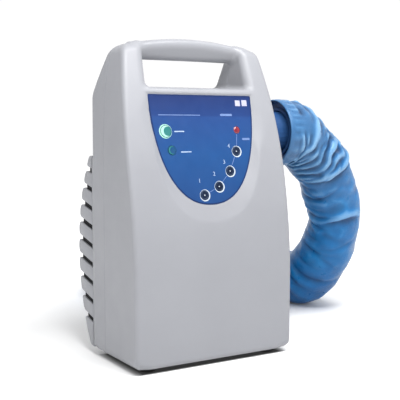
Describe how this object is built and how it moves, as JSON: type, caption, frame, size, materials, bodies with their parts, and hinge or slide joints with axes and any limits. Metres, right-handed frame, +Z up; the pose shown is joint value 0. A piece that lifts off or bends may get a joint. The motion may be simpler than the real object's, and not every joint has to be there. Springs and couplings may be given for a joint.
{
  "type": "forced air patient warming blower",
  "caption": "Upright cabinet with a carry handle and sloping membrane panel that blows heated, filtered air through a fabric hose into a warming blanket.",
  "frame": {"origin": "on the floor under the middle of the cabinet, its rear grille and its outlet spigot", "axes": "+Z up, -Y out of the control panel, +X along the outlet spigot"},
  "size_m": [0.5273, 0.6159, 0.4314],
  "materials": {
    "shell_plastic": "satin",
    "panel_blue": "satin",
    "key_green": "satin",
    "key_teal": "satin",
    "key_ring": "satin",
    "lens_red": "gloss",
    "foot_rubber": "matte",
    "brass": "satin",
    "circuit_board": "satin",
    "sheet_aluminium": "satin",
    "steel": "satin",
    "filter_paper": "matte",
    "fan_plastic": "satin",
    "hose_fabric": "matte",
    "cuff_blue": "satin",
    "dark_plastic": "satin"
  },
  "bodies": {
    "cabinet": {"alarm_lens": "lens_red", "bearing_front": "steel", "bearing_rear": "steel", "board_rail_left": "dark_plastic", "board_rail_right": "dark_plastic", "board_standoff_1": "brass", "board_standoff_2": "brass", "board_standoff_3": "brass", "board_standoff_4": "brass", "case_screw_1": "steel", "case_screw_2": "steel", "case_screw_3": "steel", "case_screw_4": "steel", "control_board": "circuit_board", "filter_frame": "dark_plastic", "filter_media": "filter_paper", "foot_front_left": "foot_rubber", "foot_front_right": "foot_rubber", "foot_rear_left": "foot_rubber", "foot_rear_right": "foot_rubber", "front_shell": "shell_plastic", "handle_bar": "shell_plastic", "heat_sink": "sheet_aluminium", "heater_coil": "steel", "heater_duct": "sheet_aluminium", "inlet_pin_earth": "brass", "inlet_pin_line": "brass", "inlet_pin_neutral": "brass", "louvre_grille": "shell_plastic", "mains_inlet": "dark_plastic", "motor_can": "steel", "outlet_spigot": "dark_plastic", "panel_overlay": "panel_blue", "power_board": "circuit_board", "rear_shell": "shell_plastic", "thermal_cutout": "dark_plastic", "transformer": "dark_plastic", "volute_cover": "fan_plastic", "volute_housing": "fan_plastic"},
    "rotor": {"impeller": "fan_plastic", "motor_shaft": "steel"},
    "hose": {"hose_cuff": "cuff_blue", "hose_sleeve": "hose_fabric", "hose_nozzle": "cuff_blue"},
    "on_key_body": {"on_key": "key_green"},
    "standby_key_body": {"standby_key": "key_teal"},
    "temp_key_1_body": {"temp_key_1": "key_ring"},
    "temp_key_2_body": {"temp_key_2": "key_ring"},
    "temp_key_3_body": {"temp_key_3": "key_ring"},
    "temp_key_4_body": {"temp_key_4": "key_ring"}
  },
  "joints": [
    {"name": "on_key_press", "type": "slide", "parent": "cabinet", "child": "on_key_body", "axis": [0, 0.978, -0.2087], "range_m": [0, 0.0007], "stiffness_N_per_m": 800},
    {"name": "standby_key_press", "type": "slide", "parent": "cabinet", "child": "standby_key_body", "axis": [0, 0.978, -0.2087], "range_m": [0, 0.0007], "stiffness_N_per_m": 800},
    {"name": "temp_key_1_press", "type": "slide", "parent": "cabinet", "child": "temp_key_1_body", "axis": [0, 0.978, -0.2087], "range_m": [0, 0.0007], "stiffness_N_per_m": 800},
    {"name": "temp_key_2_press", "type": "slide", "parent": "cabinet", "child": "temp_key_2_body", "axis": [0, 0.978, -0.2087], "range_m": [0, 0.0007], "stiffness_N_per_m": 800},
    {"name": "temp_key_3_press", "type": "slide", "parent": "cabinet", "child": "temp_key_3_body", "axis": [0, 0.978, -0.2087], "range_m": [0, 0.0007], "stiffness_N_per_m": 800},
    {"name": "temp_key_4_press", "type": "slide", "parent": "cabinet", "child": "temp_key_4_body", "axis": [0, 0.978, -0.2087], "range_m": [0, 0.0007], "stiffness_N_per_m": 800},
    {"name": "impeller_spin", "type": "hinge", "parent": "cabinet", "child": "rotor", "pos_m": [-0.04238, -0.0254, 0.149], "axis": [0, 1, 0], "continuous": true},
    {"name": "hose_pull_off", "type": "slide", "parent": "cabinet", "child": "hose", "axis": [1, 0, 0], "range_m": [0, 0.045]}
  ]
}
